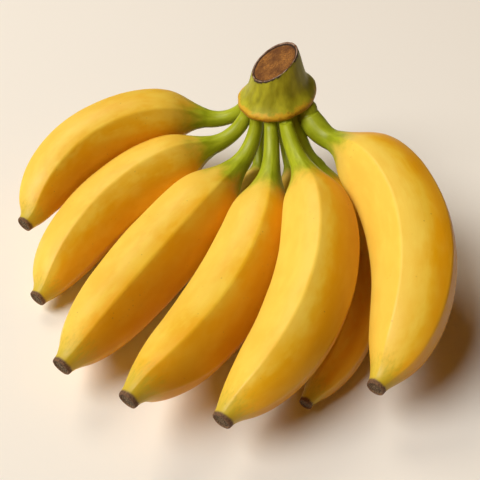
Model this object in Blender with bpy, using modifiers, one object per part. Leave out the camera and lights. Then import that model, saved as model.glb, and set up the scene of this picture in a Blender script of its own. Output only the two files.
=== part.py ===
"""Bunch of bananas: nine fingers grown from one crown, lying on a table.

Lengths are in millimetres and angles in degrees, and the meshes are made in metres.
A heading is counted anticlockwise from +X, and a pitch upwards from level.
"""

import math

import bmesh
import bpy
from mathutils import Vector

MM = 0.001
GAP = 0.3

# The crown: the cut stub of the stem, with the collar that the stalks hang from.
CROWN_SIDES = 16
COLLAR_LEAN = (-0.157, -0.037)
CUT_LEAN = (-0.66, -0.10)
CUT_CENTRE = (-1.9, -0.8, 19.9)
UNDERSIDE = -3.5
CROWN_RINGS = (
    (UNDERSIDE, 18.6),
    (-2.6, 20.1),
    (-0.2, 20.7),
    (2.2, 19.1),
    (6.0, 16.7),
    (10.5, 15.3),
    (15.0, 14.5),
    (18.7, 13.8),
    (CUT_CENTRE[2], 13.3),
)
CUT_RIM = 1.4
CUT_DISH = 0.7

# One row for each finger: where its stalk joins the collar (bearing and reach), the way
# it heads as it leaves the collar, at its neck and at its tip, and its sizes. A stout
# stalk is that much thicker than the others.
FINGERS = (
    dict(seat=(166, 16.0), leaves=(145, -72), neck=(175, 6), tip=(263, -21),
         stalk=29.9, body=124.7, girth=17.1, roll=54),
    dict(seat=(195, 16.0), leaves=(213, -73), neck=(199, -10), tip=(254, -16),
         stalk=28.2, body=126.4, girth=17.4, roll=61),
    dict(seat=(225, 16.0), leaves=(271, -76), neck=(228, -21), tip=(250, 12),
         stalk=29.3, body=146.3, girth=19.3, roll=51),
    dict(seat=(253, 16.0), leaves=(282, -55), neck=(262, -24), tip=(231, 20),
         stalk=28.3, body=154.4, girth=18.3, roll=62),
    dict(seat=(280, 16.0), leaves=(277, -19), neck=(290, -12), tip=(218, -6),
         stalk=31.3, body=149.1, girth=18.3, roll=14),
    dict(seat=(300, 9.6), leaves=(313, -67), neck=(304, -20), tip=(227, 3),
         stalk=37.4, body=142.3, girth=12.2, roll=33, stout=0.9),
    dict(seat=(327, 16.2), leaves=(308, -58), neck=(314, 5), tip=(229, -22),
         stalk=24.8, body=154.5, girth=19.5, roll=58, stout=1.3),
    dict(seat=(144, 8.6), leaves=(142, -79), neck=(271, -38), tip=(244, 12),
         stalk=38.6, body=56.8, girth=11.4, roll=37),
    dict(seat=(53, 5.0), leaves=(227, -86), neck=(287, -32), tip=(255, 15),
         stalk=38.4, body=85.1, girth=12.7, roll=14),
)

# Along a stalk: how far along it, half its width across and half its depth.
STALK_RINGS = ((0.0, 3.2, 4.1), (0.36, 3.8, 4.1), (0.72, 4.3, 4.4))
# Along a body: how far along it, its radius as a share of the girth, and how
# far its section has turned from round to five-sided.
BODY_RINGS = (
    (0.0, 0.29, 0.2),
    (0.06, 0.46, 0.6),
    (0.13, 0.75, 1.0),
    (0.24, 0.93, 1.0),
    (0.42, 1.0, 1.0),
    (0.60, 0.97, 1.0),
    (0.76, 0.86, 1.0),
    (0.87, 0.655, 0.9),
    (0.94, 0.405, 0.6),
    (0.985, 0.26, 0.2),
    (1.0, 0.235, 0.0),
)
# The last stretch of every body turns to the way its blossom scar faces.
BEAK_FROM = 0.9
BEAK_FACES = (235, -8)
SCAR_RIM = 0.6
SCAR_DISH = 0.6
FINGER_SIDES = 10
RIDGE = 0.045
STEPS = 60


def clear_scene():
    for item in list(bpy.data.objects):
        bpy.data.objects.remove(item, do_unlink=True)


def new_collection(name):
    collection = bpy.data.collections.new(name)
    bpy.context.scene.collection.children.link(collection)
    return collection


def new_material(name, colour, roughness):
    material = bpy.data.materials.new(name)
    material.use_nodes = True
    shader = material.node_tree.nodes["Principled BSDF"]
    shader.inputs["Base Color"].default_value = (*colour, 1.0)
    shader.inputs["Roughness"].default_value = roughness
    shader.inputs["Metallic"].default_value = 0.0
    return material


def heading_vector(heading, pitch):
    flat = math.cos(math.radians(pitch))
    return Vector((
        flat * math.cos(math.radians(heading)),
        flat * math.sin(math.radians(heading)),
        math.sin(math.radians(pitch)),
    ))


def leaning_axis(lean):
    return Vector((lean[0], lean[1], 1.0)).normalized()


def level_axes(axis):
    """Two unit vectors square to the axis, the first one along +X as nearly as can be."""
    across = Vector((0.0, 1.0, 0.0)).cross(axis).normalized()
    return across, axis.cross(across)


def cage_swell(sides):
    """How much wider a ring of the cage is than the smooth surface inside it."""
    return 3.0 / (2.0 + math.cos(2.0 * math.pi / sides))


def loft(name, rings, material, collection):
    """A closed cage, its end face extruded from ring to ring, smoothed by subdivision."""
    cage = bmesh.new()
    disc = bmesh.ops.create_circle(cage, cap_ends=True, segments=len(rings[0]), radius=MM)
    loop = disc["verts"]
    end = disc["verts"][0].link_faces[0]
    for place, ring in enumerate(rings):
        if place:
            last_end = end
            grown = bmesh.ops.extrude_face_region(cage, geom=[end])["geom"]
            end = next(item for item in grown if isinstance(item, bmesh.types.BMFace))
            loop = [min(end.verts, key=lambda v: (v.co - old.co).length) for old in loop]
        if place > 1:
            bmesh.ops.delete(cage, geom=[last_end], context="FACES_ONLY")
        for corner, point in zip(loop, ring):
            corner.co = point * MM
    bmesh.ops.recalc_face_normals(cage, faces=cage.faces[:])
    mesh = bpy.data.meshes.new(name)
    cage.to_mesh(mesh)
    cage.free()
    mesh.shade_smooth()
    mesh.materials.append(material)
    part = bpy.data.objects.new(name, mesh)
    collection.objects.link(part)
    smooth = part.modifiers.new("smooth", "SUBSURF")
    smooth.levels = 1
    smooth.render_levels = 1
    return part


def crown_rings():
    """Level rings up the collar and the stub, leaning more and more towards the cut."""
    swell = cage_swell(CROWN_SIDES)
    rings = []
    for height, radius in CROWN_RINGS:
        share = height / CUT_CENTRE[2]
        axis = leaning_axis(COLLAR_LEAN).slerp(leaning_axis(CUT_LEAN), max(share, 0.0))
        rings.append((Vector(CUT_CENTRE) * share, axis, radius * swell))
    top, axis, radius = rings[-1]
    rings.append((top, axis, radius - CUT_RIM))
    rings.append((top - axis * CUT_DISH, axis, radius - CUT_RIM - CUT_DISH))
    bottom, base_axis, base_radius = rings[0]
    rings.insert(0, (bottom, base_axis, base_radius - CUT_RIM))
    return [level_ring(centre, axis, reach) for centre, axis, reach in rings]


def level_ring(centre, axis, radius):
    across, along = level_axes(axis)
    ring = []
    for k in range(CROWN_SIDES):
        angle = 2.0 * math.pi * k / CROWN_SIDES
        ring.append(centre + (across * math.cos(angle) + along * math.sin(angle)) * radius)
    return ring


def eased(low, high, value):
    """From 0 at the low value to 1 at the high one, level at both."""
    t = min(max((value - low) / (high - low), 0.0), 1.0)
    return t * t * (3.0 - 2.0 * t)


def finger_line(finger):
    """The centreline: its points, their headings, and a sideways vector that never twists."""
    bearing, reach = finger["seat"]
    axis = leaning_axis(COLLAR_LEAN)
    across, along = level_axes(axis)
    angle = math.radians(bearing)
    outward = across * math.cos(angle) + along * math.sin(angle)
    point = outward * reach + axis * (UNDERSIDE - GAP)
    leaves, neck, tip = (heading_vector(*finger[key]) for key in ("leaves", "neck", "tip"))
    beak = heading_vector(*BEAK_FACES)
    heading = leaves
    side = axis.cross(outward)
    side = (side - heading * side.dot(heading)).normalized()
    line = [(point, heading, side)]
    for start, finish, length in ((leaves, neck, finger["stalk"]), (neck, tip, finger["body"])):
        for k in range(STEPS):
            share = (k + 1.0) / STEPS
            turned = start.slerp(finish, share)
            if finish == tip:
                turned = turned.slerp(beak, eased(BEAK_FROM, 1.0, share))
            point = point + (heading + turned).normalized() * (length / STEPS)
            side = heading.rotation_difference(turned) @ side
            heading = turned
            line.append((point, heading, side))
    return line


def finger_ring(place, half_width, half_depth, five_sided, roll):
    """One section of a finger: an oval, or a pentagon with soft corners."""
    point, heading, side = place
    depth = heading.cross(side)
    swell = cage_swell(FINGER_SIDES)
    ring = []
    for k in range(FINGER_SIDES):
        angle = math.radians(roll) + 2.0 * math.pi * k / FINGER_SIDES
        corner = RIDGE * five_sided * (1.0 if k % 2 == 0 else -1.0)
        reach = swell * (1.0 + corner)
        across = side * math.cos(angle) * half_width
        inward = depth * math.sin(angle) * half_depth
        ring.append(point + (across + inward) * reach)
    return ring


def finger_rings(finger):
    line = finger_line(finger)
    girth = finger["girth"]
    roll = finger["roll"]
    stout = finger.get("stout", 1.0)
    rings = []
    for share, half_width, half_depth in STALK_RINGS:
        place = line[round(share * STEPS)]
        if share == 0.0:
            axis = leaning_axis(COLLAR_LEAN)
            side = (place[2] - axis * place[2].dot(axis)).normalized()
            place = (place[0], -axis, side)
        rings.append(finger_ring(place, half_width * stout, half_depth * stout, 0.0, roll))
    for share, radius, five_sided in BODY_RINGS:
        place = line[STEPS + round(share * STEPS)]
        rings.append(finger_ring(place, radius * girth, radius * girth, five_sided, roll))
    point, heading, side = line[-1]
    scar = BODY_RINGS[-1][1] * girth - SCAR_RIM
    sunk = (point - heading * SCAR_DISH, heading, side)
    rings.append(finger_ring(line[-1], scar, scar, 0.0, roll))
    rings.append(finger_ring(sunk, scar - SCAR_DISH, scar - SCAR_DISH, 0.0, roll))
    return rings


def rest_on_table(parts):
    """Move the whole bunch so that the middle of its box's underside is the origin."""
    frame = bpy.data.objects.new("bunch_frame", None)
    bpy.context.scene.collection.objects.link(frame)
    for part in parts:
        part.parent = frame
    bpy.context.view_layer.update()
    depsgraph = bpy.context.evaluated_depsgraph_get()
    corners = []
    for part in parts:
        mesh = part.evaluated_get(depsgraph).data
        corners.extend(vertex.co.copy() for vertex in mesh.vertices)
    low = [min(corner[axis] for corner in corners) for axis in range(3)]
    high = [max(corner[axis] for corner in corners) for axis in range(3)]
    frame.location = (-(low[0] + high[0]) / 2.0, -(low[1] + high[1]) / 2.0, -low[2])


clear_scene()
bunch = new_collection("banana_bunch")
stem_green = new_material("stem_green", (0.28, 0.30, 0.05), 0.5)
parts = [loft("crown", crown_rings(), stem_green, bunch)]
for number, finger in enumerate(FINGERS, start=1):
    peel = new_material(f"peel_{number}", (0.85, 0.55, 0.05), 0.42)
    parts.append(loft(f"banana_{number}", finger_rings(finger), peel, bunch))
rest_on_table(parts)
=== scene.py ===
import math

import bpy
import numpy as np
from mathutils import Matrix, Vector, noise


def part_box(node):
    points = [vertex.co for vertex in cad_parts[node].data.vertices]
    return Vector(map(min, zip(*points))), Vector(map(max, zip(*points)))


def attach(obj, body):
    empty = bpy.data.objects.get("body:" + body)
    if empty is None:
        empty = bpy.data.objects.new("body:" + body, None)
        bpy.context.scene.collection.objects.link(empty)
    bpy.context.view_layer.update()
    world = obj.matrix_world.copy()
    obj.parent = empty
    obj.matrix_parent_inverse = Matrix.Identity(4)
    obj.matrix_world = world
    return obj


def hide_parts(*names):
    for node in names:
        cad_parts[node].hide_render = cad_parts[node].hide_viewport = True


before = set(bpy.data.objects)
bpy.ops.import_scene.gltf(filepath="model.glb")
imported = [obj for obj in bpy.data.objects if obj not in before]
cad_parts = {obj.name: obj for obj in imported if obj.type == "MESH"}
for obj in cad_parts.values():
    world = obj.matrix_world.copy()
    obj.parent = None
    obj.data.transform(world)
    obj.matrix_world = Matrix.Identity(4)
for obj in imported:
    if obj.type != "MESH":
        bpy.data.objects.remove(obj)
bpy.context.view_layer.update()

mm = 0.001

# The crown, in millimetres from the middle of its collar. Headings and pitches are in degrees.
crown = {
    "collarLean": (-0.157, -0.037),
    "cutLean": (-0.66, -0.10),
    "cutCentre": (-1.9, -0.8, 19.9),
    "cutTop": 26.4,  # the cut's highest point, above the collar's middle
    "underside": -3.5,
    # height and radius, from the underside up to the cut
    "profile": ((-3.5, 17.6), (-3.2, 19.2), (-2.4, 20.3), (-1.2, 20.8), (-0.2, 20.7), (1.0, 20.0),
                (2.6, 18.7), (6.0, 16.7), (10.5, 15.3), (15.0, 14.5), (18.7, 13.8), (19.6, 13.65)),
    "sides": 96,
    "rings": 44,
    "crowding": 1.35,  # above 1, the rings stand closer towards the underside
    # insets over the cut, from the skin inwards: how far in, and how far up or down
    "cut": ((0.35, 0.22), (0.40, 0.05), (0.30, -0.32), (0.25, -0.38), (0.45, -0.05), (1.1, 0.08),
            (1.4, 0.02), (1.5, -0.05), (1.5, -0.08), (1.5, -0.06), (1.5, -0.04), (1.4, 0.0)),
    # the skin swells into a lobe over each outer stalk, and has broad and fine streaks up it
    "lobes": 0.55,
    "lobeWidth": 0.20,
    "lobeReach": 10.0,
    "lobeFade": (3.0, 12.0),
    "streaks": 0.38,
    "streakSize": 7.0,
    "fineStreaks": 0.12,
    "fineStreakSize": 2.6,
    "streakStretch": (16.0, 16.0, 0.35),
    # it is calmer at the cut: between these heights the swelling falls to this share
    "calmHeights": (17.8, 19.3),
    "calmShare": 0.35,
    "rimReach": (12.8, 13.4),  # further in than this it is the cut, and further out the skin
    # the cut's face is grainy with a few low humps, and its lip is wavy
    "grain": 0.16,
    "grainSize": 0.9,
    "humps": 0.35,
    "humpSize": 8.0,
    "grainReach": (11.4, 12.2),
    "grainHeights": (14.0, 17.0),
    "lipWave": 0.22,
    "lipWaveSize": 3.2,
    "lipStretch": (13.0, 13.0, 0.0),
    "lipReach": (11.5, 12.6),
    "lipHeights": (18.5, 19.7),
    # the collar's edge rises on the side of the stoutest stalk, most at this angle in radians
    "edgeLift": 1.9,
    "liftWay": 0.2,
    "liftFade": (0.5, 7.0),
}

# One finger as it would be if it were straight, before it is copied and bent.
fingerForm = {
    "stalk": 30.0,
    "body": 140.0,
    "girth": 18.0,
    "root": 4.5,  # how far it runs up into the crown
    "rootTaper": 0.4,
    # share of the stalk and radius in millimetres
    "stalkProfile": ((0.0, 4.3), (0.12, 3.8), (0.35, 3.9), (0.7, 4.3), (1.0, 5.25)),
    # share of the body and radius as a share of the girth
    "bodyProfile": ((0.0, 0.29), (0.04, 0.385), (0.08, 0.53), (0.12, 0.70), (0.16, 0.825),
                    (0.22, 0.92), (0.32, 0.98), (0.44, 1.0), (0.56, 0.985), (0.68, 0.92),
                    (0.78, 0.82), (0.86, 0.67), (0.915, 0.51), (0.957, 0.345), (0.985, 0.255),
                    (1.0, 0.240)),
    "sides": 60,
    "stalkRings": 16,
    "bodyRings": 62,
    "tipRings": 8,
    "tipFrom": 0.95,  # the rings stand closer from here on
    # insets over the blossom scar
    "scar": ((0.35, 0.16), (0.35, 0.02), (0.28, -0.42), (0.22, -0.24), (0.40, 0.02), (0.26, 0.26),
             (0.26, -0.22), (0.36, -0.06), (0.30, 0.30), (0.30, -0.02)),
    "facets": 5,
    "flatness": 0.44,  # how far the sides flatten between the ridges
    # from here on, shares run from -1 at the collar through 0 at the neck to 1 at the tip
    "ridgesRise": (-0.25, 0.12),
    "ridgesFade": (0.93, 1.0),
    "stalkRidges": 0.25,
    "ridgesLost": 0.75,  # at the very tip
    "stoutFade": (-0.6, 0.05),
    "neckAt": -0.06,
    "neckSpread": 0.16,
    "beakSpan": (0.86, 0.99),
    "levelUntil": (-1.0, -0.7),
    "narrowUntil": (-1.0, -0.55),
    "narrowing": 0.14,
    # lumps in the skin: their height as a share of the radius, their size and how drawn out
    "wave": 0.016,
    "waveSize": 22.0,
    "waveStretch": (0.6, 0.6, 1.0),
    "ripple": 0.006,
    "rippleSize": 6.5,
    "rippleStretch": (1.0, 1.0, 0.45),
    "wavesRise": (-1.0, 0.2),
    "wavesFade": (0.97, 1.0),
    "twist": 0.03,  # how far the ridges wander sideways, in radians
    "twistSize": 60.0,
    "lineSteps": 240,
    "beakFrom": 0.90,
    "beakFaces": (235, -8),  # the way every blossom scar faces
    "scarDepth": 1.6,  # the scar's colours begin this far before the body's end
    "patternStep": 400.0,  # how far apart two fingers' patterns lie
    "lightWay": (-0.85, -0.35, 0.45),  # painted light and shade: the peel's colour is painted palest on the side turned this way and darker away from it
}

# The nine fingers round the crown. seat is the bearing and reach of the stalk on the collar;
# leaves, neck and tip are the way it heads there. girth is the body's radius and roll turns its
# ridges; stout, neckSwell and beak scale the stalk, the neck and the last stretch.
fingers = (
    {"seat": (166, 16.0), "leaves": (145, -72), "neck": (175, 6), "tip": (263, -21),
     "stalk": 29.9, "body": 124.7, "girth": 17.1, "roll": 54},
    {"seat": (195, 16.0), "leaves": (213, -73), "neck": (199, -10), "tip": (254, -16),
     "stalk": 28.2, "body": 126.4, "girth": 17.4, "roll": 61},
    {"seat": (225, 16.0), "leaves": (271, -76), "neck": (228, -21), "tip": (250, 12),
     "stalk": 29.3, "body": 146.3, "girth": 19.3, "roll": 51},
    {"seat": (253, 16.0), "leaves": (282, -55), "neck": (262, -24), "tip": (231, 20),
     "stalk": 28.3, "body": 154.4, "girth": 18.3, "roll": 62},
    {"seat": (280, 16.0), "leaves": (277, -19), "neck": (290, -12), "tip": (218, -6),
     "stalk": 31.3, "body": 149.1, "girth": 18.3, "roll": 14},
    {"seat": (300, 9.6), "leaves": (313, -67), "neck": (304, -20), "tip": (227, 3),
     "stalk": 37.4, "body": 142.3, "girth": 12.2, "roll": 33, "stout": 1.35, "neckSwell": 1.55},
    {"seat": (327, 16.2), "leaves": (308, -58), "neck": (314, 5), "tip": (229, -22),
     "stalk": 24.8, "body": 154.5, "girth": 19.5, "roll": 58, "stout": 1.55, "beak": 0.86},
    {"seat": (144, 8.6), "leaves": (142, -79), "neck": (271, -38), "tip": (244, 12),
     "stalk": 38.6, "body": 56.8, "girth": 11.4, "roll": 37},
    {"seat": (53, 5.0), "leaves": (227, -86), "neck": (287, -32), "tip": (255, 15),
     "stalk": 38.4, "body": 85.1, "girth": 12.7, "roll": 14},
)


def headingVector(heading, pitch):
    flat = math.cos(math.radians(pitch))
    return Vector((flat * math.cos(math.radians(heading)), flat * math.sin(math.radians(heading)),
                   math.sin(math.radians(pitch))))


def leaningAxis(lean):
    return Vector((lean[0], lean[1], 1.0)).normalized()


def levelAxes(axis):
    across = Vector((0.0, 1.0, 0.0)).cross(axis).normalized()
    return across, axis.cross(across)


def smoothCurve(keys, places):
    # cubic through the keys that never overshoots them
    x = np.array([key[0] for key in keys], float)
    y = np.array([key[1] for key in keys], float)
    step = np.diff(x)
    slope = np.diff(y) / step
    tangent = np.zeros(len(x))
    tangent[0] = slope[0]
    tangent[-1] = slope[-1]
    for k in range(1, len(x) - 1):
        if slope[k - 1] * slope[k] > 0.0:
            tangent[k] = 2.0 * slope[k - 1] * slope[k] / (slope[k - 1] + slope[k])
    places = np.asarray(places, float)
    span = np.clip(np.searchsorted(x, places) - 1, 0, len(x) - 2)
    t = (places - x[span]) / step[span]
    rise = (3.0 - 2.0 * t) * t * t
    return (y[span] * (1.0 - rise) + y[span + 1] * rise
            + step[span] * t * (1.0 - t) * ((1.0 - t) * tangent[span] - t * tangent[span + 1]))


def smoothStep(low, high, value):
    t = np.clip((value - low) / (high - low), 0.0, 1.0)
    return t * t * (3.0 - 2.0 * t)


def startPiece(name, sides, radius, height):
    if bpy.context.mode != "OBJECT":
        bpy.ops.object.mode_set(mode="OBJECT")
    bpy.ops.object.select_all(action="DESELECT")
    bpy.ops.mesh.primitive_circle_add(vertices=sides, radius=radius, fill_type="NGON",
                                      location=(0.0, 0.0, 0.0))
    piece = bpy.context.object
    piece.name = name
    piece.data.name = name
    bpy.ops.object.mode_set(mode="EDIT")
    bpy.ops.mesh.select_all(action="SELECT")
    bpy.ops.transform.translate(value=(0.0, 0.0, height))
    return piece


def growRings(heights, radii):
    # the end face is extruded and resized, ring after ring
    for k in range(1, len(heights)):
        rise = heights[k] - heights[k - 1]
        bpy.ops.mesh.extrude_region_move(TRANSFORM_OT_translate={"value": (0.0, 0.0, rise)})
        size = radii[k] / radii[k - 1]
        bpy.ops.transform.resize(value=(size, size, 1.0), center_override=(0.0, 0.0, heights[k]))


def finishForm(piece, insets):
    for thickness, depth in insets:
        bpy.ops.mesh.inset(thickness=thickness * mm, depth=depth * mm, use_even_offset=True)
    bpy.ops.mesh.select_all(action="SELECT")
    bpy.ops.mesh.normals_make_consistent(inside=False)
    bpy.ops.object.mode_set(mode="OBJECT")
    smooth = piece.modifiers.new("smooth", "SUBSURF")
    smooth.levels = 1
    smooth.render_levels = 1
    bpy.ops.object.modifier_apply(modifier="smooth")
    bpy.ops.object.shade_smooth()


def readPoints(mesh):
    points = np.empty(len(mesh.vertices) * 3)
    mesh.vertices.foreach_get("co", points)
    return points.reshape(-1, 3) / mm


def writePoints(mesh, points):
    mesh.vertices.foreach_set("co", (points * mm).ravel())
    mesh.update()


def writeAttribute(mesh, name, values):
    kind = "FLOAT_VECTOR" if values.ndim == 2 else "FLOAT"
    attribute = mesh.attributes.new(name, kind, "POINT")
    attribute.data.foreach_set("vector" if values.ndim == 2 else "value",
                               values.astype(np.float32).ravel())


def lumps(points, size, seed):
    # smooth noise from about -1 to 1 at each point, one lump about size millimetres across
    shift = Vector((seed * 17.3, seed * 5.1, seed * 9.7))
    return np.array([noise.noise(Vector(point) / size + shift) for point in points])


def makeStraightFinger():
    form = fingerForm
    stalkShares = np.linspace(0.0, 1.0, form["stalkRings"] + 1)[:-1]
    bodyShares = np.concatenate((np.linspace(0.0, form["tipFrom"], form["bodyRings"]),
                                 np.linspace(form["tipFrom"], 1.0, form["tipRings"] + 1)[1:]))
    heights = np.concatenate(((-form["root"],), stalkShares * form["stalk"],
                              form["stalk"] + bodyShares * form["body"])) * mm
    stalkRadii = smoothCurve(form["stalkProfile"], stalkShares)
    bodyRadii = smoothCurve(form["bodyProfile"], bodyShares) * form["girth"]
    radii = np.concatenate(((stalkRadii[0],), stalkRadii, bodyRadii)) * mm
    piece = startPiece("straightFinger", form["sides"], radii[0], heights[0])
    growRings(heights, radii)
    finishForm(piece, form["scar"])
    return piece


def facetShape(angles, share):
    # pentagon with bulging sides: 1 on average, largest on its five ridges
    form = fingerForm
    turn = 2.0 * math.pi / form["facets"]
    offset = np.mod(angles + turn / 2.0, turn) - turn / 2.0
    pentagon = math.cos(turn / 2.0) / np.cos(turn / 2.0 - np.abs(offset))
    onStalk = form["stalkRidges"]
    fiveSided = smoothStep(*form["ridgesRise"], share) * (1.0 - onStalk) + onStalk
    fiveSided *= 1.0 - form["ridgesLost"] * smoothStep(*form["ridgesFade"], share)
    flatness = form["flatness"] * fiveSided
    mean = 1.0 - 0.5 * flatness * (1.0 - math.cos(turn / 2.0))
    ridge = 1.0 - np.abs(offset) / (turn / 2.0)
    return (1.0 - flatness + flatness * pentagon) / mean, ridge * fiveSided


def fingerLine(finger, collarCentre):
    # the centreline: points, headings and sideways vectors, stalk first and then the body
    form = fingerForm
    steps = form["lineSteps"]
    bearing, reach = finger["seat"]
    axis = leaningAxis(crown["collarLean"])
    across, along = levelAxes(axis)
    outward = across * math.cos(math.radians(bearing)) + along * math.sin(math.radians(bearing))
    point = collarCentre + outward * reach + axis * crown["underside"]
    leaves, neck, tip = (headingVector(*finger[key]) for key in ("leaves", "neck", "tip"))
    beak = headingVector(*form["beakFaces"])
    heading = leaves
    side = axis.cross(outward)
    side = (side - heading * side.dot(heading)).normalized()
    line = [(*point, *heading, *side)]
    for start, end, length in ((leaves, neck, finger["stalk"]), (neck, tip, finger["body"])):
        for k in range(steps):
            share = (k + 1.0) / steps
            following = start.slerp(end, share)
            if end == tip:
                beakTurn = float(smoothStep(form["beakFrom"], 1.0, share))
                following = following.slerp(beak, beakTurn)
            point = point + (heading + following).normalized() * (length / steps)
            side = heading.rotation_difference(following) @ side
            heading = following
            line.append((*point, *heading, *side))
    return np.array(line), -np.array(axis)


def bendFinger(piece, finger, number, collarCentre):
    form = fingerForm
    points = readPoints(piece.data)
    x, y, z = points.T
    onBody = z > form["stalk"]
    share = np.where(onBody, (z - form["stalk"]) / form["body"], z / form["stalk"] - 1.0)
    angles = np.arctan2(y, x)
    radius = np.hypot(x, y)

    # this finger's own thickness: body, stalk, neck, root and beak
    grown = np.where(share > 0.0, 1.0, smoothStep(-1.0, 0.0, share))
    onStalk = 1.0 - smoothStep(*form["stoutFade"], share)
    atNeck = np.exp(-((share - form["neckAt"]) / form["neckSpread"]) ** 2)
    scale = 1.0 + (finger["girth"] / form["girth"] - 1.0) * grown
    scale *= 1.0 + (finger.get("stout", 1.0) - 1.0) * onStalk
    scale *= 1.0 + (finger.get("neckSwell", 1.0) - 1.0) * atNeck
    scale *= 1.0 - form["rootTaper"] * np.clip(-z / form["root"], 0.0, 1.0)
    scale *= 1.0 + (finger.get("beak", 1.0) - 1.0) * smoothStep(*form["beakSpan"], share)

    # the five ridges, a little uneven from finger to finger
    facet, ridge = facetShape(angles, share)
    wave = form["wave"] * lumps(points * form["waveStretch"], form["waveSize"], number)
    ripple = form["ripple"] * lumps(points * form["rippleStretch"], form["rippleSize"], number + 20)
    waviness = smoothStep(*form["wavesRise"], share) * (1.0 - smoothStep(*form["wavesFade"], share))
    reach = radius * facet * scale * (1.0 + (wave + ripple) * waviness)

    # where each vertex sits along the centreline
    line, collarWay = fingerLine(finger, collarCentre)
    along = np.clip(form["lineSteps"] * (1.0 + share), 0.0, len(line) - 1.0)
    rows = np.arange(len(line))
    middle = np.column_stack([np.interp(along, rows, line[:, k]) for k in range(3)])
    heading = np.column_stack([np.interp(along, rows, line[:, k]) for k in range(3, 6)])
    side = np.column_stack([np.interp(along, rows, line[:, k]) for k in range(6, 9)])

    # the stalk's first sections turn level with the collar, and its root runs up into the crown
    turned = smoothStep(*form["levelUntil"], share)[:, None]
    heading = heading * turned + collarWay * (1.0 - turned)
    heading /= np.linalg.norm(heading, axis=1)[:, None]
    side -= heading * np.sum(side * heading, axis=1)[:, None]
    side /= np.linalg.norm(side, axis=1)[:, None]
    depth = np.cross(heading, side)
    beyond = np.maximum(z - form["stalk"] - form["body"], 0.0) + np.minimum(z, 0.0)
    narrow = 1.0 - form["narrowing"] * (1.0 - smoothStep(*form["narrowUntil"], share))
    twist = form["twist"] * lumps(points * (0.0, 0.0, 1.0), form["twistSize"], number)
    rolled = angles + (math.radians(finger["roll"]) + twist)
    across = reach * np.cos(rolled) * narrow
    inward = reach * np.sin(rolled)
    bent = middle + heading * beyond[:, None] + side * across[:, None] + depth * inward[:, None]
    writePoints(piece.data, bent)

    # what the material reads
    # how far each point of the skin faces lightWay, for the painted light and shade on the peel
    outward = side * np.cos(rolled)[:, None] + depth * np.sin(rolled)[:, None]
    lightSide = outward @ np.array(Vector(form["lightWay"]).normalized())
    tipRadius = form["bodyProfile"][-1][1] * form["girth"]
    onCap = z > form["stalk"] + form["body"] - form["scarDepth"]
    scarShare = np.where(onCap, np.clip(1.0 - radius / tipRadius, 0.0, 1.0), 0.0)
    place = points + np.array((0.0, 0.0, form["patternStep"] * number))
    writeAttribute(piece.data, "peelPlace", place)
    writeAttribute(piece.data, "bodyShare", share)
    writeAttribute(piece.data, "ridgeNear", ridge)
    writeAttribute(piece.data, "scarShare", scarShare)
    writeAttribute(piece.data, "lightSide", lightSide)


def makeCrown(collarCentre):
    profile = crown["profile"]
    low = profile[0][0]
    high = profile[-1][0]
    shares = np.linspace(0.0, 1.0, crown["rings"])
    heights = low + (high - low) * shares ** crown["crowding"]
    radii = smoothCurve(profile, heights)
    piece = startPiece("crownPiece", crown["sides"], radii[0] * mm, heights[0] * mm)
    growRings(heights * mm, radii * mm)
    finishForm(piece, crown["cut"])
    points = readPoints(piece.data)
    x, y, z = points.T
    angles = np.arctan2(y, x)
    radius = np.hypot(x, y)

    # soft lobes over the stalks and streaks up the skin, which goes round under the collar too
    skin = smoothStep(*crown["rimReach"], radius + np.clip(10.0 - z, 0.0, 10.0))
    lobes = np.zeros(len(points))
    for finger in fingers:
        bearing, reach = finger["seat"]
        if reach > crown["lobeReach"]:
            away = np.angle(np.exp(1j * (angles - math.radians(bearing))))
            lobes += np.exp(-(away / crown["lobeWidth"]) ** 2)
    lobes = crown["lobes"] * (1.0 - smoothStep(*crown["lobeFade"], z)) * (lobes - 0.5)
    around = np.column_stack((np.cos(angles), np.sin(angles), z))
    drawnOut = around * crown["streakStretch"]
    streaks = crown["streaks"] * lumps(drawnOut, crown["streakSize"], seed=3)
    fineStreaks = crown["fineStreaks"] * lumps(drawnOut, crown["fineStreakSize"], seed=5)
    calm = crown["calmShare"]
    calming = calm + (1.0 - calm) * (1.0 - smoothStep(*crown["calmHeights"], z))
    growth = (lobes + streaks + fineStreaks) * skin * calming
    radius = radius + growth * smoothStep(0.0, 12.0, radius)

    # grain over the cut, and its wavy lip
    flat = points * (1.0, 1.0, 0.0)
    grain = crown["grain"] * lumps(flat, crown["grainSize"], seed=7)
    humps = crown["humps"] * lumps(flat, crown["humpSize"], seed=9)
    inside = 1.0 - smoothStep(*crown["grainReach"], radius)
    z = z + (grain + humps) * inside * smoothStep(*crown["grainHeights"], z)
    lipWave = crown["lipWave"] * lumps(around * crown["lipStretch"], crown["lipWaveSize"], seed=11)
    onLip = smoothStep(*crown["lipHeights"], z) * smoothStep(*crown["lipReach"], radius)
    z = z + lipWave * onLip

    # the collar's edge rises on one side
    towards = np.clip(np.cos(angles - crown["liftWay"]), 0.0, 1.0) ** 1.5
    z = z + crown["edgeLift"] * towards * (1.0 - smoothStep(*crown["liftFade"], z))

    # lean it: each height has its own centre and axis
    collarAxis = leaningAxis(crown["collarLean"])
    cutAxis = leaningAxis(crown["cutLean"])
    cutCentre = Vector(crown["cutCentre"])
    placed = np.empty_like(points)
    for k in range(len(points)):
        share = z[k] / cutCentre.z
        axis = collarAxis.slerp(cutAxis, min(max(share, 0.0), 1.0))
        across, along = levelAxes(axis)
        centre = cutCentre * min(share, 1.0) + axis * max(z[k] - cutCentre.z, 0.0)
        placed[k] = (collarCentre + centre + across * (radius[k] * math.cos(angles[k]))
                     + along * (radius[k] * math.sin(angles[k])))
    writePoints(piece.data, placed)
    writeAttribute(piece.data, "stemPlace", np.column_stack((x, y, z)))
    writeAttribute(piece.data, "stemHeight", z)
    # how far out from the cut's middle, and well outside it lower down
    writeAttribute(piece.data, "cutReach", np.where(z > 14.0, radius, 30.0))
    return piece


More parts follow.
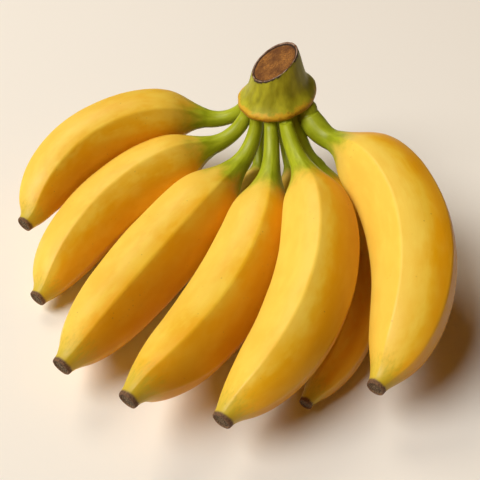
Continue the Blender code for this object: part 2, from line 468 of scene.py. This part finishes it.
def feed(tree, socket, value):
    if isinstance(value, bpy.types.NodeSocket):
        tree.links.new(value, socket)
    elif hasattr(value, "__len__") and socket.type == "RGBA":
        socket.default_value = (*value, 1.0)
    else:
        socket.default_value = value


def addNode(tree, kind, inputs=(), **settings):
    node = tree.nodes.new(kind)
    for key, value in settings.items():
        setattr(node, key, value)
    for key, value in dict(inputs).items():
        feed(tree, node.inputs[key], value)
    return node


def attributeNode(tree, name, output="Fac"):
    return addNode(tree, "ShaderNodeAttribute", attribute_name=name).outputs[output]


def mixColour(tree, amount, first, second):
    node = addNode(tree, "ShaderNodeMix", data_type="RGBA")
    feed(tree, node.inputs[0], amount)
    feed(tree, node.inputs[6], first)
    feed(tree, node.inputs[7], second)
    return node.outputs[2]


def maths(tree, operation, first, second):
    node = addNode(tree, "ShaderNodeMath", operation=operation)
    feed(tree, node.inputs[0], first)
    feed(tree, node.inputs[1], second)
    return node.outputs[0]


def tint(tree, skin, colour, mask, strength):
    # the colour over the skin, as far as mask times strength says
    return mixColour(tree, maths(tree, "MULTIPLY", mask, strength), skin, colour)


def remap(tree, value, low, high, toLow=0.0, toHigh=1.0):
    node = addNode(tree, "ShaderNodeMapRange", interpolation_type="SMOOTHSTEP", inputs={
        "Value": value, "From Min": low, "From Max": high, "To Min": toLow, "To Max": toHigh})
    return node.outputs["Result"]


def newGroup(name, inputs, outputs):
    group = bpy.data.node_groups.new(name, "ShaderNodeTree")
    for label, kind, value in inputs:
        socket = group.interface.new_socket(label, in_out="INPUT", socket_type=kind)
        if value is not None:
            socket.default_value = value
    for label, kind in outputs:
        group.interface.new_socket(label, in_out="OUTPUT", socket_type=kind)
    given = group.nodes.new("NodeGroupInput").outputs
    result = group.nodes.new("NodeGroupOutput").inputs
    return group, given, result


def makeMottleGroup():
    # soft patches drawn out along the length
    group, given, result = newGroup("mottle", (
        ("Place", "NodeSocketVector", None), ("Scale", "NodeSocketFloat", 0.1),
        ("Stretch", "NodeSocketFloat", 0.3), ("Low", "NodeSocketFloat", 0.35),
        ("High", "NodeSocketFloat", 0.65)), (("Amount", "NodeSocketFloat"),))
    stretch = addNode(group, "ShaderNodeCombineXYZ", {"X": 1.0, "Y": 1.0, "Z": given["Stretch"]})
    drawn = addNode(group, "ShaderNodeVectorMath", operation="MULTIPLY")
    feed(group, drawn.inputs[0], given["Place"])
    feed(group, drawn.inputs[1], stretch.outputs[0])
    cloud = addNode(group, "ShaderNodeTexNoise", {
        "Vector": drawn.outputs[0], "Scale": given["Scale"], "Detail": 3.0, "Roughness": 0.55})
    feed(group, result["Amount"], remap(group, cloud.outputs[0], given["Low"], given["High"]))
    return group


def makeSpeckGroup():
    # small scattered marks: a few Voronoi cells, thinned out by a cloud
    group, given, result = newGroup("speck", (
        ("Place", "NodeSocketVector", None), ("Scale", "NodeSocketFloat", 1.0),
        ("Size", "NodeSocketFloat", 0.3), ("Thin", "NodeSocketFloat", 0.55)),
        (("Amount", "NodeSocketFloat"),))
    cells = addNode(group, "ShaderNodeTexVoronoi", {
        "Vector": given["Place"], "Scale": given["Scale"]})
    dot = remap(group, cells.outputs["Distance"], given["Size"], 0.0)
    scatter = maths(group, "MULTIPLY", given["Scale"], 0.22)
    cloud = addNode(group, "ShaderNodeTexNoise", {"Vector": given["Place"], "Scale": scatter})
    kept = remap(group, cloud.outputs[0], given["Thin"], maths(group, "ADD", given["Thin"], 0.08))
    feed(group, result["Amount"], maths(group, "MULTIPLY", dot, kept))
    return group


def makeFibreGroup():
    # fine lines along the length, for the relief
    group, given, result = newGroup("fibre", (
        ("Place", "NodeSocketVector", None), ("Scale", "NodeSocketFloat", 2.0),
        ("Stretch", "NodeSocketFloat", 0.08)), (("Height", "NodeSocketFloat"),))
    stretch = addNode(group, "ShaderNodeCombineXYZ", {"X": 1.0, "Y": 1.0, "Z": given["Stretch"]})
    drawn = addNode(group, "ShaderNodeVectorMath", operation="MULTIPLY")
    feed(group, drawn.inputs[0], given["Place"])
    feed(group, drawn.inputs[1], stretch.outputs[0])
    lines = addNode(group, "ShaderNodeTexNoise", {
        "Vector": drawn.outputs[0], "Scale": given["Scale"], "Detail": 4.0, "Roughness": 0.6})
    feed(group, result["Height"], lines.outputs[0])
    return group


mottleGroup = makeMottleGroup()
speckGroup = makeSpeckGroup()
fibreGroup = makeFibreGroup()


def useGroup(tree, group, inputs):
    node = addNode(tree, "ShaderNodeGroup", node_tree=group)
    for key, value in inputs.items():
        feed(tree, node.inputs[key], value)
    return node.outputs[0]


def newMaterial(name):
    material = bpy.data.materials.new(name)
    material.use_nodes = True
    return material, material.node_tree, material.node_tree.nodes["Principled BSDF"]


peelLook = {
    "yellow": (0.83, 0.46, 0.006),
    # pale is the skin's own paler patches, and also the painted highlight along the ridges
    "pale": (0.90, 0.65, 0.065),
    # painted light and shade: cream is painted on the side turned to the light, shade and deep round
    # the back; deep is also the skin's own deeper patches
    "paintedLightCream": (0.90, 0.68, 0.140),
    "shade": (0.42, 0.16, 0.002),
    "deep": (0.83, 0.34, 0.002),
    "green": (0.29, 0.35, 0.008),
    "greenPale": (0.39, 0.46, 0.018),
    "olive": (0.48, 0.40, 0.030),
    "speck": (0.20, 0.10, 0.03),
    "rim": (0.21, 0.115, 0.058),
    "rimDark": (0.09, 0.05, 0.032),
    "scarDark": (0.045, 0.026, 0.014),
    "scarTan": (0.30, 0.21, 0.12),
    "neckFrom": 0.03,
    "neckTo": 0.15,
    # painted light and shade by how far the skin turns to the light: from and to, and the amount of
    # colour at each
    "paintedShadeSide": (0.45, 0.05, 0.0, 0.62),
    "paintedLightSide": (0.20, 0.80, 0.0, 0.55),
    "shadeSide": (0.1, -0.6, 0.0, 0.38),
}


def makePeel():
    look = peelLook
    material, tree, shader = newMaterial("ripePeel")
    place = attributeNode(tree, "peelPlace", "Vector")
    share = attributeNode(tree, "bodyShare")
    ridge = attributeNode(tree, "ridgeNear")
    scar = attributeNode(tree, "scarShare")
    lightSide = attributeNode(tree, "lightSide")

    # ripe skin: soft pale patches, deeper ones, and fine long streaks
    broad = useGroup(tree, mottleGroup, {"Place": place, "Scale": 0.085, "Stretch": 0.50,
                                         "Low": 0.38, "High": 0.66})
    small = useGroup(tree, mottleGroup, {"Place": place, "Scale": 0.24, "Stretch": 0.45,
                                         "Low": 0.46, "High": 0.70})
    deepPatch = useGroup(tree, mottleGroup, {"Place": place, "Scale": 0.045, "Stretch": 0.5,
                                             "Low": 0.48, "High": 0.75})
    streak = useGroup(tree, mottleGroup, {"Place": place, "Scale": 0.9, "Stretch": 0.035,
                                          "Low": 0.40, "High": 0.75})
    skin = tint(tree, look["yellow"], look["pale"], broad, 0.50)
    skin = tint(tree, skin, look["pale"], small, 0.42)
    skin = tint(tree, skin, look["deep"], deepPatch, 0.45)
    skin = tint(tree, skin, look["deep"], streak, 0.06)

    # painted light and shade: creamy on the side turned to the light, painted shade deeper and then
    # darker round the back, and a painted highlight along the ridges
    turned = maths(tree, "ADD", lightSide, maths(tree, "MULTIPLY", broad, 0.12))
    skin = mixColour(tree, remap(tree, turned, *look["paintedShadeSide"]), skin, look["deep"])
    skin = mixColour(tree, remap(tree, turned, *look["paintedLightSide"]), skin, look["paintedLightCream"])
    skin = mixColour(tree, remap(tree, turned, *look["shadeSide"]), skin, look["shade"])
    # painted highlight: a thin pale line along each ridge
    skin = tint(tree, skin, look["pale"], remap(tree, ridge, 0.76, 1.0), 0.10)

    # unripe green at the neck and on the stalk, reaching further along the ridges
    wobble = useGroup(tree, mottleGroup, {"Place": place, "Scale": 0.16, "Stretch": 0.35,
                                          "Low": 0.2, "High": 0.8})
    shifted = maths(tree, "ADD", share, maths(tree, "MULTIPLY", wobble, 0.055))
    shifted = maths(tree, "SUBTRACT", shifted, maths(tree, "MULTIPLY", ridge, 0.025))
    greenAmount = remap(tree, shifted, look["neckTo"], look["neckFrom"])
    stalkTone = useGroup(tree, mottleGroup, {"Place": place, "Scale": 0.42, "Stretch": 0.14})
    green = mixColour(tree, stalkTone, look["green"], look["greenPale"])
    skin = mixColour(tree, greenAmount, skin, green)

    # olive beak, then the dried rim
    beak = remap(tree, maths(tree, "ADD", share, maths(tree, "MULTIPLY", streak, 0.03)), 0.90, 1.0)
    skin = tint(tree, skin, look["olive"], beak, 0.75)
    speck = useGroup(tree, speckGroup, {"Place": place, "Scale": 0.45, "Size": 0.22, "Thin": 0.60})
    skin = tint(tree, skin, look["speck"], speck, 0.55)
    rimEdge = maths(tree, "ADD", share, maths(tree, "MULTIPLY", wobble, 0.006))
    dried = remap(tree, rimEdge, 0.987, 0.996)
    rimTone = useGroup(tree, mottleGroup, {"Place": place, "Scale": 1.6, "Stretch": 1.0})
    rimColour = mixColour(tree, rimTone, look["rim"], look["rimDark"])
    skin = mixColour(tree, dried, skin, rimColour)

    # the blossom scar: dark, with paler rings of dried strands
    strands = useGroup(tree, mottleGroup, {"Place": place, "Scale": 2.6, "Stretch": 1.0,
                                           "Low": 0.48, "High": 0.62})
    scarColour = mixColour(tree, strands, look["scarDark"], look["scarTan"])
    skin = mixColour(tree, remap(tree, scar, 0.16, 0.30), skin, scarColour)
    feed(tree, shader.inputs["Base Color"], skin)

    gloss = maths(tree, "ADD", 0.40, maths(tree, "MULTIPLY", small, 0.10))
    rough = maths(tree, "MAXIMUM", gloss, maths(tree, "MULTIPLY", dried, 0.85))
    feed(tree, shader.inputs["Roughness"], rough)
    shader.inputs["Specular IOR Level"].default_value = 0.34
    fibre = useGroup(tree, fibreGroup, {"Place": place, "Scale": 1.1, "Stretch": 0.07})
    bump = addNode(tree, "ShaderNodeBump", {"Strength": 0.12, "Distance": 0.0004, "Height": fibre})
    feed(tree, shader.inputs["Normal"], bump.outputs[0])
    return material


stemLook = {
    "light": (0.45, 0.44, 0.022),
    "mid": (0.29, 0.28, 0.008),
    # dark is the stem's own darker tone, and also painted shade under the collar
    "dark": (0.12, 0.125, 0.004),
    "edge": (0.66, 0.38, 0.020),
    "mark": (0.26, 0.080, 0.008),
    "lip": (0.33, 0.23, 0.18),
    "lipDark": (0.030, 0.016, 0.010),
    "cut": (0.120, 0.043, 0.011),
    "cutTan": (0.34, 0.145, 0.030),
    # heights, and reaches out from the cut's middle, between which one finish turns to the next
    "driedHeights": (19.0, 20.2),
    "lipReach": (13.5, 13.2),
    "grooveReach": (12.75, 12.45),
    "faceReach": (12.2, 11.6),
}


def makeStem():
    look = stemLook
    material, tree, shader = newMaterial("cutStem")
    place = attributeNode(tree, "stemPlace", "Vector")
    height = attributeNode(tree, "stemHeight")
    reach = attributeNode(tree, "cutReach")

    patch = useGroup(tree, mottleGroup, {"Place": place, "Scale": 0.11, "Stretch": 0.55})
    streak = useGroup(tree, mottleGroup, {"Place": place, "Scale": 0.30, "Stretch": 0.14,
                                          "Low": 0.38, "High": 0.68})
    skin = mixColour(tree, patch, look["mid"], look["light"])
    skin = tint(tree, skin, look["dark"], streak, 0.17)
    # large dark patches here and there
    darkPatches = useGroup(tree, mottleGroup, {"Place": place, "Scale": 0.07, "Stretch": 0.6,
                                          "Low": 0.50, "High": 0.66})
    skin = tint(tree, skin, look["dark"], darkPatches, 0.45)

    # yellowing towards the collar's edge, then an orange-brown band with small marks
    wobble = useGroup(tree, mottleGroup, {"Place": place, "Scale": 0.28, "Stretch": 1.0})
    level = maths(tree, "ADD", height, maths(tree, "MULTIPLY", wobble, 1.6))
    skin = tint(tree, skin, look["light"], remap(tree, level, 6.0, 1.2), 0.45)
    band = maths(tree, "MULTIPLY", remap(tree, level, 3.4, 1.2), remap(tree, level, -2.6, -1.2))
    skin = tint(tree, skin, look["edge"], band, 0.85)
    rust = maths(tree, "MULTIPLY", band, remap(tree, level, 1.4, -0.4))
    skin = tint(tree, skin, look["mark"], rust, 0.55)
    marks = useGroup(tree, speckGroup, {"Place": place, "Scale": 0.62, "Size": 0.45, "Thin": 0.47})
    skin = tint(tree, skin, look["mark"], marks, band)
    # painted shade: the skin turns dark under the collar's edge
    skin = mixColour(tree, remap(tree, level, -1.0, -2.6), skin, look["dark"])

    # the cut: skin dried brown at its edge, a pale lip, a dark groove and the grainy face
    nearCut = maths(tree, "ADD", height, maths(tree, "MULTIPLY", wobble, 0.9))
    skin = mixColour(tree, remap(tree, nearCut, *look["driedHeights"]), skin, look["lipDark"])
    onCut = remap(tree, reach, *look["lipReach"])
    lipTone = useGroup(tree, mottleGroup, {"Place": place, "Scale": 0.5, "Stretch": 1.0})
    lip = mixColour(tree, lipTone, look["lip"], look["cut"])
    skin = mixColour(tree, onCut, skin, lip)
    skin = mixColour(tree, remap(tree, reach, *look["grooveReach"]), skin, look["lipDark"])
    grainCloud = useGroup(tree, mottleGroup, {"Place": place, "Scale": 0.12, "Stretch": 1.0})
    grain = useGroup(tree, mottleGroup, {"Place": place, "Scale": 1.5, "Stretch": 1.0,
                                         "Low": 0.44, "High": 0.58})
    face = mixColour(tree, grainCloud, look["cut"], look["cutTan"])
    face = tint(tree, face, look["cut"], grain, 0.65)
    pits = useGroup(tree, speckGroup, {"Place": place, "Scale": 1.5, "Size": 0.42, "Thin": 0.42})
    face = tint(tree, face, look["lipDark"], pits, 0.8)
    inFace = remap(tree, reach, *look["faceReach"])
    skin = mixColour(tree, inFace, skin, face)
    feed(tree, shader.inputs["Base Color"], skin)

    rough = maths(tree, "ADD", 0.5, maths(tree, "MULTIPLY", onCut, 0.38))
    feed(tree, shader.inputs["Roughness"], rough)
    shader.inputs["Specular IOR Level"].default_value = 0.28
    fibre = useGroup(tree, fibreGroup, {"Place": place, "Scale": 0.9, "Stretch": 0.10})
    faceGrain = maths(tree, "MULTIPLY", maths(tree, "MULTIPLY", grain, inFace), 0.8)
    relief = maths(tree, "ADD", fibre, faceGrain)
    bump = addNode(tree, "ShaderNodeBump", {"Strength": 0.35, "Distance": 0.0005, "Height": relief})
    feed(tree, shader.inputs["Normal"], bump.outputs[0])
    return material


stage = {
    "floor": (0.89, 0.885, 0.885),
    "floorDeep": (0.875, 0.865, 0.86),
    "floorSize": 9.0,
    "softboxAim": (0.0, 0.0, 0.03),
    # place, size, power and colour of each softbox
    "softboxes": {
        "key": ((-2.15, -0.72, 2.74), 2.5, 128.0, (1.0, 0.97, 0.87)),
        "back": ((-1.40, 1.90, 2.70), 1.5, 34.0, (1.0, 0.88, 0.68)),
    },
    # the fill is brightest from one side, and only the camera sees the backdrop's colour
    "fillColour": (1.0, 0.42, 0.12),
    "fillFrom": (-0.75, -0.65, 0.1),
    "fillHigh": 0.16,
    "fillLow": 0.03,
    "backdrop": (0.86, 0.78, 0.68),
}


def makeFloorPaint():
    material, tree, shader = newMaterial("floorPaint")
    where = addNode(tree, "ShaderNodeTexCoord").outputs["Object"]
    cloud = addNode(tree, "ShaderNodeTexNoise", {"Vector": where, "Scale": 3.0, "Detail": 2.0})
    tone = mixColour(tree, cloud.outputs[0], stage["floor"], stage["floorDeep"])
    feed(tree, shader.inputs["Base Color"], tone)
    shader.inputs["Roughness"].default_value = 0.8
    shader.inputs["Specular IOR Level"].default_value = 0.1
    return material


def addSoftbox(name, place, size, power, colour):
    light = bpy.data.lights.new(name, "AREA")
    light.shape = "DISK"
    light.size = size
    light.energy = power
    light.color = colour
    lamp = bpy.data.objects.new(name, light)
    bpy.context.scene.collection.objects.link(lamp)
    lamp.location = place
    facing = Vector(stage["softboxAim"]) - Vector(place)
    lamp.rotation_euler = facing.to_track_quat("-Z", "Y").to_euler()


def makeWorld():
    world = bpy.data.worlds.new("studio")
    world.use_nodes = True
    sky = world.node_tree
    facing = addNode(sky, "ShaderNodeVectorMath", operation="DOT_PRODUCT")
    feed(sky, facing.inputs[0], addNode(sky, "ShaderNodeTexCoord").outputs["Generated"])
    facing.inputs[1].default_value = Vector(stage["fillFrom"]).normalized()
    fillDim, fillBright = ([channel * stage[key] for channel in stage["fillColour"]]
                           for key in ("fillLow", "fillHigh"))
    fill = mixColour(sky, remap(sky, facing.outputs["Value"], -1.0, 1.0), fillDim, fillBright)
    seen = addNode(sky, "ShaderNodeLightPath").outputs["Is Camera Ray"]
    colour = mixColour(sky, seen, fill, stage["backdrop"])
    feed(sky, sky.nodes["Background"].inputs["Color"], colour)
    return world


crownLow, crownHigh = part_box("crown")
collarCentre = Vector(((crownLow.x + crownHigh.x) / 2.0, (crownLow.y + crownHigh.y) / 2.0, 0.0)) / mm
collarCentre.z = crownHigh.z / mm - crown["cutTop"]
print("collar middle at", tuple(round(value, 2) for value in collarCentre))

peelMaterial = makePeel()
stemMaterial = makeStem()

crownPiece = makeCrown(collarCentre)
crownPiece.data.materials.append(stemMaterial)
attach(crownPiece, "root")
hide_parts("crown")
print("crown made", len(crownPiece.data.polygons), "faces")

straight = makeStraightFinger()
print("straight finger made", len(straight.data.polygons), "faces")
for number, finger in enumerate(fingers, start=1):
    piece = straight.copy()
    piece.data = straight.data.copy()
    piece.name = f"finger{number}"
    piece.data.name = piece.name
    bpy.context.scene.collection.objects.link(piece)
    bendFinger(piece, finger, number, collarCentre)
    piece.data.materials.append(peelMaterial)
    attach(piece, "root")
    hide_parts(f"banana_{number}")
bpy.data.objects.remove(straight)
print("fingers bent", len(fingers))

bpy.ops.object.select_all(action="DESELECT")
bpy.ops.mesh.primitive_plane_add(size=stage["floorSize"], location=(0.0, 0.0, 0.0))
floor = bpy.context.object
floor.name = "floor"
floor.data.materials.append(makeFloorPaint())

for name, (place, size, power, colour) in stage["softboxes"].items():
    addSoftbox(name, place, size, power, colour)
bpy.context.scene.world = makeWorld()
bpy.context.scene.view_settings.view_transform = "Standard"

# lens and sensor in millimetres, and the aim in millimetres from the collar's middle
shot = {"lens": 65.0, "sensor": 36.0, "elevation": 42.0, "distance": 0.416,
        "aim": (-19.3, -76.5, -33.0)}
cameraData = bpy.data.cameras.new("shot")
cameraData.lens = shot["lens"]
cameraData.sensor_width = shot["sensor"]
camera = bpy.data.objects.new("shot", cameraData)
bpy.context.scene.collection.objects.link(camera)
lift = math.radians(shot["elevation"])
aim = (collarCentre + Vector(shot["aim"])) * mm
camera.location = aim + Vector((0.0, -math.cos(lift), math.sin(lift))) * shot["distance"]
camera.rotation_euler = (math.pi / 2.0 - lift, 0.0, 0.0)
bpy.context.scene.camera = camera
print("floor, light and camera set")
